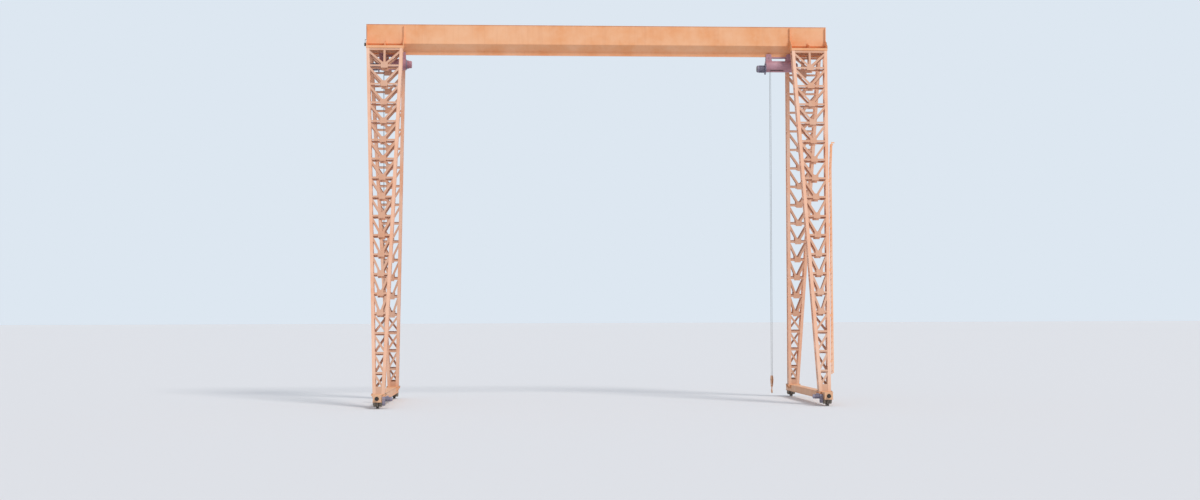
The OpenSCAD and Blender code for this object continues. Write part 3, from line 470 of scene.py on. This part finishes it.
MATERIAL_OF_SLOT = {
    "orange_paint": ORANGE, "dark_machinery_paint": IRON, "blue_grey_motor_paint": MOTOR,
    "dark_red_paint": RED, "wheel_steel": WHEEL, "drum_steel": DRUM, "wire_rope": ROPE,
    "hook_paint": ORANGE, "black_rubber": BUFFER,
}
slot_of_node = {s["node"]: s["material_slot"] for s in frame["record"]["subparts"]}
for node_name, node_object in nodes.items():
    node_object.data.materials.clear()
    lattice = node_name.startswith("column_") and slot_of_node[node_name] == "orange_paint"
    node_object.data.materials.append(COLUMN_SHADED_PAINT if lattice else MATERIAL_OF_SLOT[slot_of_node[node_name]])


# Columns


def face_beads(bm, m, slant):
    """Weld beads where a wide face's bars meet its joint plates and corner angles."""
    y = BRACE_Y - BEAD_GAP

    def bead(x0, s0, x1, s1):
        add_bead(bm, m @ Vector((x0, y, s0)), m @ Vector((x1, y, s1)), BEAD_R)

    def bead_on_chord(x_side, s, cut):
        low, high = s - cut / 2, s + cut / 2
        bead(x_side * (half_w(low) - CHORD_LEG), low, x_side * (half_w(high) - CHORD_LEG), high)

    def chord_crossing(x0, s0, x1, s1):
        """Height at which a bar's middle line passes the edge of the corner angle."""
        slope = (x1 - x0) / (s1 - s0)
        return s0 + (half_w(s0) - CHORD_LEG - x0) / (slope - math.tan(taper))

    brace_low = HORIZONTAL_W / 2 + DIAGONAL_W * 0.4
    brace_high = HORIZONTAL_W / 2 + DIAGONAL_W * 0.6
    top_bar = column_l - COLUMN_DEPTH / 2 * math.tan(lean) - HORIZONTAL_W / 2 - 0.012
    for i in range(1, PANELS + 1):
        for x_side in (-1, 1):
            bead_on_chord(x_side, i * level_step, HORIZONTAL_W)
    for i in range(SINGLE_PANELS):
        low = i * level_step + brace_high + (FOOT_TIE_H - HORIZONTAL_W if i == 0 else 0)
        high = (i + 1) * level_step - brace_high
        low_x = half_w(low) - BRACE_INSET - DIAGONAL_W / 2
        high_x = half_w(high) - BRACE_INSET - DIAGONAL_W / 2
        cut = DIAGONAL_W / math.sin(math.atan((low_x + high_x) / (high - low)))
        near = chord_crossing(-low_x, low, high_x, high)
        bead_on_chord(slant, min(near, high), cut * 0.8)
        bead_on_chord(-slant, max(low + (high - near), low), cut * 0.8)
    for i in range(SINGLE_PANELS, PANELS + 1):
        low = i * level_step
        extra = GUSSET_TOP_EXTRA if i == PANELS else 0
        high = top_bar if i == PANELS else (i + 1) * level_step
        w, h = GUSSET_W + extra, GUSSET_H + extra
        top = low + h * 0.6
        low_s, high_s = low + brace_low, high - brace_high
        low_x, high_x = GUSSET_W / 6, half_w(high_s) - BRACE_INSET - DIAGONAL_W / 2
        slope = (high_x - low_x) / (high_s - low_s)
        tilt = math.atan(slope)
        for x_side in (-1, 1):
            edge = x_side * (w / 2 + 0.003)
            bead(edge, low - HORIZONTAL_W / 2, edge, low + HORIZONTAL_W / 2)
            middle = low_x + slope * (top - low_s)
            half = DIAGONAL_W / math.cos(tilt) / 2
            x1 = min(middle + half, w / 2)
            bead(x_side * (middle - half), top + 0.003, x_side * x1, top + 0.003)
            s = chord_crossing(low_x, low_s, high_x, high_s)
            bead_on_chord(x_side, min(s, high_s), DIAGONAL_W / math.sin(tilt) * 0.8)


def foot_beads(bm, m):
    """Weld beads where the corner angles stand on the foot plate, outside each corner."""
    depth = COLUMN_DEPTH / 2
    for x_side in (-1, 1):
        for y_side in (-1, 1):
            s = y_side * depth * math.tan(lean)
            corner = (x_side * (half_w(s) + BEAD_GAP), y_side * (depth + BEAD_GAP))
            start = m @ Vector((corner[0] - x_side * CHORD_LEG, corner[1], s))
            middle = m @ Vector((corner[0], corner[1], s))
            end = m @ Vector((corner[0], corner[1] - y_side * 0.1, s - y_side * 0.1 * math.tan(lean)))
            for a, b in ((start, middle), (middle, end)):
                a.z = b.z = foot_z + BEAD_GAP
                add_bead(bm, a, b, BEAD_R)


def make_column_welds():
    """Weld beads of the four columns, a piece for each column."""
    for x_side, x_name in ((-1, "left"), (1, "right")):
        for y_side, y_name in ((-1, "near"), (1, "far")):
            m = column_places(x_side, y_side)
            bm = bmesh.new()
            face_beads(bm, m @ Matrix.Translation((0, -COLUMN_DEPTH / 2, 0)), -1)
            flip = Matrix.Diagonal((1, -1, 1, 1))
            face_beads(bm, m @ Matrix.Translation((0, COLUMN_DEPTH / 2, 0)) @ flip, 1)
            foot_beads(bm, m)
            new_object(f"column_{x_name}_{y_name}_welds", bm, COLUMN_SHADED_PAINT, "frame", smooth=True)


def make_column_bolts():
    """Bolts through the channel rings at the columns' tops and through the foot plates."""
    bm = bmesh.new()
    cap_half = COLUMN_DEPTH / 2 / math.cos(lean) + CAP_LIP - CAP_FLANGE / 2
    for x_side in (-1, 1):
        for y_side in (-1, 1):
            for k in range(CAP_BOLT_COUNT):
                x = x_side * SPAN / 2 + (k - (CAP_BOLT_COUNT - 1) / 2) * CAP_BOLT_PITCH
                for row in (-1, 1):
                    y = y_side * COLUMN_TOP_Y + row * cap_half
                    add_bolt(bm, (x, y, base_z), (0, 0, 1), CAP_BOLT)
            for x_edge in (-1, 1):
                for k in range(FOOT_BOLT_COUNT):
                    place = (x_side * SPAN / 2 + x_edge * (FOOT_PLATE_W / 2 - FOOT_BOLT_EDGE),
                             y_side * COLUMN_FOOT_Y + (k - (FOOT_BOLT_COUNT - 1) / 2) * FOOT_BOLT_PITCH,
                             foot_z)
                    add_bolt(bm, place, (0, 0, 1), FOOT_BOLT)
    new_object("column_bolts", bm, BOLT, "frame")


# Girder


def make_girder_welds():
    """Long beads along the webs' edges, and the seams between the plates of the web and the slope."""
    bm = bmesh.new()
    end = girder_half - 0.02
    half = GIRDER_W / 2
    for y in (-half - 0.001, half + 0.001):
        for z in (web_z, top_plate_z - 0.004):
            add_bead(bm, (-end, y, z), (end, y, z), LONG_BEAD_R, 0.04)
        for x in SEAMS_X:
            add_bead(bm, (x, y, web_z), (x, y, top_plate_z), SEAM_BEAD_R)
            slope_foot = (x, math.copysign(0.02, y), TRACK_Z + SLOPE_SEAT + 0.012)
            add_bead(bm, slope_foot, (x, y, web_z), SEAM_BEAD_R)
    new_object("girder_welds", bm, ORANGE, "frame", smooth=True)


def make_bracket_welds():
    """Weld beads on both faces of each bracket plate, along its base and up the web."""
    bm = bmesh.new()
    web_y = GIRDER_W / 2 + BEAD_GAP
    outer_y = COLUMN_TOP_Y + COLUMN_DEPTH / 2 / math.cos(lean)
    reach = COLUMN_TOP_W / 2 + CAP_LIP
    plates = ((-reach + BRACKET_T / 2, BRACKET_H), (0, 0.37), (reach - BRACKET_T / 2, BRACKET_H))
    for x_side in (-1, 1):
        for y_side in (-1, 1):
            for middle, height in plates:
                for face in (-1, 1):
                    x = x_side * SPAN / 2 + middle + face * BRACKET_T / 2
                    if abs(x - x_side * SPAN / 2) > reach - 0.001:
                        continue
                    y = y_side * web_y
                    add_bead(bm, (x, y + y_side * 0.02, base_z), (x, y_side * outer_y, base_z), BEAD_R)
                    add_bead(bm, (x, y, web_z + 0.02), (x, y, base_z + height - 0.02), BEAD_R)
    new_object("bracket_welds", bm, ORANGE, "frame", smooth=True)


def make_lamp_details():
    """Glass with a metal rim at the lower end of each lamp, and a stay from its top to the end plate."""
    lenses, rims, stays = bmesh.new(), bmesh.new(), bmesh.new()
    low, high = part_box("end_lamps")
    y = (low.y + high.y) / 2
    top_z = low.z + LAMP_L
    for side, x in ((-1, low.x + LAMP_D / 2), (1, high.x - LAMP_D / 2)):
        m = Matrix.Translation((x, y, low.z))
        add_rings(lenses, m, [(LENS_R, 0.0), (LENS_R, 0.012)], 24)
        add_rings(rims, m, [(0.044, 0.002), (RIM_R, 0.002), (RIM_R, 0.016), (0.044, 0.016)], 24)
        add_rings(stays, Matrix.Translation((x, y, top_z)),
                  [(0.03, -0.004), (0.03, 0.01), (STAY_R, 0.014), (STAY_R, STAY_RISE + STAY_R)], 16)
        arm_l = LAMP_REACH - LAMP_D / 2
        plate_end = frame_from((side, 0, 0), (x - side * arm_l, y, top_z + STAY_RISE))
        add_rings(stays, plate_end, [(0.034, -0.001), (0.034, 0.007), (STAY_R, 0.007), (STAY_R, arm_l)], 16)
    new_object("lamp_lenses", lenses, LENS, "frame", smooth=False)
    new_object("lamp_rims", rims, BOLT, "frame")
    new_object("lamp_stays", stays, IRON, "frame")


# Ground beams


def make_ground_welds():
    """Long beads between the webs and flanges of the ground beams."""
    for x_side, name in ((-1, "left"), (1, "right")):
        bm = bmesh.new()
        end = GROUND_BEAM_L / 2 - 0.015
        for face in (-1, 1):
            x = x_side * SPAN / 2 + face * (GROUND_WEB_W / 2 + 0.001)
            for z in (GROUND_BEAM_Z + 0.015, GROUND_BEAM_Z + GROUND_BEAM_H - 0.015):
                add_bead(bm, (x, -end, z), (x, end, z), LONG_BEAD_R, 0.03)
        new_object(f"ground_beam_{name}_welds", bm, ORANGE, "frame", smooth=True)


def make_running_gear_bolts():
    """Bolts of the bearing covers, bearing boxes, buffers and drives."""
    bm = bmesh.new()
    cover_r = GROUND_BEAM_Z - WHEEL_R + 0.035
    for x_side in (-1, 1):
        for y_side in (-1, 1):
            cx, cy = x_side * SPAN / 2, y_side * WHEELBASE / 2
            for face in (-1, 1):
                for y, z in around(6, cover_r - 0.014, 0.4):
                    place = (cx + face * (BOX_X1 + COVER_T), cy + y, WHEEL_R + z)
                    add_bolt(bm, place, (face, 0, 0), SMALL_BOLT)
                for x in (BOX_X0 + 0.032, BOX_X1 - 0.032):
                    for edge in (-1, 1):
                        place = (cx + face * x, cy + edge * (BOX_R + 0.02), GROUND_BEAM_Z - 0.02)
                        add_bolt(bm, place, (0, 0, -1), BOX_BOLT)
            buffer_y = y_side * (GROUND_BEAM_L / 2 + BUFFER_PLATE_T)
            for x, z in around(4, BUFFER_D / 2 + 0.013, math.pi / 4):
                place = (cx + x, buffer_y, GROUND_BEAM_Z + GROUND_BEAM_H / 2 + z)
                add_bolt(bm, place, (0, y_side, 0), SMALL_BOLT)
        face_x = x_side * SPAN / 2 - x_side * (GEAR_CASE_X + GEAR_CASE_T)
        for z0, angles in ((0, (200, 245, 295, 340)), (DRIVE_RISE, (160, 20))):
            for a in angles:
                y = DRIVE_BOLT_CIRCLE_R * math.cos(math.radians(a))
                z = DRIVE_BOLT_CIRCLE_R * math.sin(math.radians(a))
                add_bolt(bm, (face_x, y - WHEELBASE / 2, WHEEL_R + z0 + z), (-x_side, 0, 0), SMALL_BOLT)
    new_object("running_gear_bolts", bm, BOLT, "frame")


# Hoists


def hoist_point(x_name, u, y, z):
    """Place in the crane's frame of a place in a hoist's own frame."""
    return Vector((HOIST_X[x_name] + u, y, z))


def make_hoist_bolts(x_name):
    """Bolts of the casing's end plates, the motor's flange and the gear cover, and the trolleys' nuts."""
    bm = bmesh.new()
    for y, z in around(16, CASING_D / 2 - 0.008, 0.1):
        add_bolt(bm, hoist_point(x_name, casing_u1, y, casing_z + z), (1, 0, 0), SMALL_BOLT)
        if math.hypot(y, z + MOTOR_DROP) > MOTOR_FLANGE_D / 2 + 0.015:
            add_bolt(bm, hoist_point(x_name, casing_u0, y, casing_z + z), (-1, 0, 0), SMALL_BOLT)
    for y, z in around(12, MOTOR_FLANGE_D / 2 - 0.03):
        add_bolt(bm, hoist_point(x_name, MOTOR_L, y, motor_z + z), (-1, 0, 0), FLANGE_BOLT)
    for y, z in around(12, CASING_D / 2 - 0.072, 0.2):
        add_bolt(bm, hoist_point(x_name, HOIST_L - GEAR_COVER_L, y, casing_z + z), (1, 0, 0), SMALL_BOLT)
    for y, z in around(6, GEAR_COVER_D / 2 - 0.055):
        add_bolt(bm, hoist_point(x_name, HOIST_L, y, casing_z + z), (1, 0, 0), GEAR_BOLT)
    inset = TROLLEY_L / 2 + 0.015
    for u in (casing_u0 + inset, casing_u1 - inset):
        for y_side in (-1, 1):
            place = hoist_point(x_name, u, y_side * HANGER_OUTER_Y, TRACK_Z - TROLLEY_SHAFT_DROP)
            m = frame_from((0, y_side, 0), place)
            add_rings(bm, m, [(0.04, -0.0005), (0.04, 0.004)], 20)
            add_rings(bm, m, [(0.037, 0.004), (0.037, 0.012)], 6)
    new_object(f"hoist_{x_name}_bolts", bm, BOLT, f"hoist_{x_name}")


def make_motor_grille(x_name):
    """Wire guard over the fan's air inlet at the motor's end."""
    bm = bmesh.new()
    m = frame_from((-1, 0, 0), hoist_point(x_name, 0.0, 0, motor_z))
    for radius in GRILLE_RINGS_R:
        points = [m @ Vector((x, y, 0.001)) for x, y in around(GRILLE_POINTS, radius)]
        rings = []
        for k, p in enumerate(points):
            along = points[(k + 1) % GRILLE_POINTS] - points[k - 1]
            f = frame_from(along, p)
            rings.append([bm.verts.new(f @ Vector((x, y, 0))) for x, y in around(6, GRILLE_WIRE_R)])
        join_rings(bm, rings + [rings[0]], cap=False)
    for x, y in around(8, GRILLE_R):
        add_bead(bm, m @ Vector((0, 0, 0.001)), m @ Vector((x, y, 0.001)), GRILLE_SPOKE_R, 0.02)
    new_object(f"hoist_{x_name}_grille", bm, BOLT, f"hoist_{x_name}", smooth=True)


def make_ropes(x_name):
    """Two falls of stranded rope from the drum, and the turn of it round the sheave."""
    radius = ROPE_D / 2
    bm = bmesh.new()
    x = hoist_point(x_name, ROPE_U, 0, 0).x
    low_z = SHEAVE_Z[x_name]
    fall = casing_z - low_z
    count = int(fall / ROPE_STEP)
    for y_side in (-1, 1):
        y = y_side * ROPE_PITCH_D / 2
        frames = (Matrix.Translation((x, y, low_z + fall * k / count)) for k in range(count + 1))
        add_rope(bm, frames, radius)
    falls = new_object(f"hoist_{x_name}_falls", bm, ROPE, f"hoist_{x_name}", smooth=True)
    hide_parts(f"hoist_{x_name}_ropes")
    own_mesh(falls)
    bm = bmesh.new()
    frames = []
    for k in range(ROPE_TURN_STEPS + 1):
        a = math.pi + math.pi * k / ROPE_TURN_STEPS
        place = Vector((x, ROPE_PITCH_D / 2 * math.cos(a), low_z + ROPE_PITCH_D / 2 * math.sin(a)))
        frames.append(frame_from((0, -math.sin(a), math.cos(a)), place))
    add_rope(bm, frames, radius)
    new_object(f"hoist_{x_name}_rope_turn", bm, ROPE, f"hook_{x_name}", smooth=True)


def make_hook_details(x_name):
    """Nuts on the sheave's pin and spacer bolts between the cheek plates."""
    bm = bmesh.new()
    x = hoist_point(x_name, ROPE_U, 0, 0).x
    cheek = SHEAVE_W / 2 + 0.004 + CHEEK_T
    for face in (-1, 1):
        m = frame_from((face, 0, 0), (x + face * cheek, 0, SHEAVE_Z[x_name]))
        add_rings(bm, m, [(0.058, -0.0005), (0.058, 0.004)], 24)
        add_rings(bm, m, [(0.052, 0.004), (0.052, 0.016)], 6)
        for y, z in HOOK_BOLTS:
            place = (x + face * cheek, y * HOOK_BOLT_SPREAD, SHEAVE_Z[x_name] + z)
            add_bolt(bm, place, (face, 0, 0), HOOK_BOLT)
    new_object(f"hook_{x_name}_bolts", bm, BOLT, f"hook_{x_name}")


make_column_welds()
make_column_bolts()
make_girder_welds()
make_bracket_welds()
make_lamp_details()
make_ground_welds()
make_running_gear_bolts()
for hoist_side in ("left", "right"):
    make_hoist_bolts(hoist_side)
    make_motor_grille(hoist_side)
    make_ropes(hoist_side)
    make_hook_details(hoist_side)


# Stage, light and camera


def pale(name, colour):
    """Matt pale stage surface."""
    material, _, shader, _ = node_material(name)
    shader.inputs["Base Color"].default_value = colour
    shader.inputs["Roughness"].default_value = 0.9
    return material


def make_stage():
    """Pale floor that keeps the crane's shadow."""
    bm = bmesh.new()
    bmesh.ops.create_grid(bm, x_segments=1, y_segments=1, size=FLOOR_HALF)
    mesh = bpy.data.meshes.new("floor")
    bm.to_mesh(mesh)
    bm.free()
    floor = bpy.data.objects.new("floor", mesh)
    bpy.context.scene.collection.objects.link(floor)
    floor.data.materials.append(pale("floor_pale", srgb(224, 224, 226)))


def make_world():
    """Soft light from the sky, which the camera and mirrored rays see in the photo's colour."""
    world = bpy.data.worlds.new("sky")
    bpy.context.scene.world = world
    world.use_nodes = True
    tree = world.node_tree
    background = tree.nodes["Background"]
    background.inputs["Color"].default_value = srgb(226, 233, 243)
    background.inputs["Strength"].default_value = 0.72
    shown = tree.nodes.new("ShaderNodeBackground")
    shown.inputs["Color"].default_value = srgb(221, 231, 241)
    shown.inputs["Strength"].default_value = 1.0
    path = tree.nodes.new("ShaderNodeLightPath")
    mix = tree.nodes.new("ShaderNodeMixShader")
    seen = path.outputs["Is Camera Ray"]
    for ray in ("Is Glossy Ray", "Is Transmission Ray"):
        total = tree.nodes.new("ShaderNodeMath")
        total.operation = "ADD"
        total.use_clamp = True
        tree.links.new(seen, total.inputs[0])
        tree.links.new(path.outputs[ray], total.inputs[1])
        seen = total.outputs[0]
    tree.links.new(seen, mix.inputs["Fac"])
    tree.links.new(background.outputs[0], mix.inputs[1])
    tree.links.new(shown.outputs[0], mix.inputs[2])
    tree.links.new(mix.outputs[0], tree.nodes["World Output"].inputs["Surface"])


def make_sun():
    """Hazy sun from the front right."""
    light = bpy.data.lights.new("sun", "SUN")
    light.energy = 1.9
    light.angle = math.radians(16)
    light.color = (1.0, 0.965, 0.92)
    sun = bpy.data.objects.new("sun", light)
    sun.rotation_euler = Vector((-0.45, 0.62, -0.75)).to_track_quat("-Z", "Y").to_euler()
    bpy.context.scene.collection.objects.link(sun)


def make_camera():
    """The photograph's viewpoint, with a longer lens so that the crane fills the frame."""
    photo_focal_px = 850.0
    photo_width_px = 1200.0
    closer = 1.756
    data = bpy.data.cameras.new("camera")
    data.sensor_width = 36.0
    data.lens = photo_focal_px / photo_width_px * data.sensor_width * closer
    data.shift_y = 0.035
    data.clip_end = 20000.0
    camera = bpy.data.objects.new("camera", data)
    yaw = math.radians(3.13)
    roll = math.radians(0.2)
    pitch = math.radians(1.15)
    camera.rotation_euler = (Matrix.Rotation(-yaw, 3, "Z") @ Matrix.Rotation(math.pi / 2 + pitch, 3, "X")
                             @ Matrix.Rotation(-roll, 3, "Z")).to_euler()
    camera.location = (-4.27, -79.56, 4.27)
    bpy.context.scene.collection.objects.link(camera)
    bpy.context.scene.camera = camera


bpy.context.scene.view_settings.view_transform = "Standard"
make_stage()
make_world()
make_sun()
make_camera()
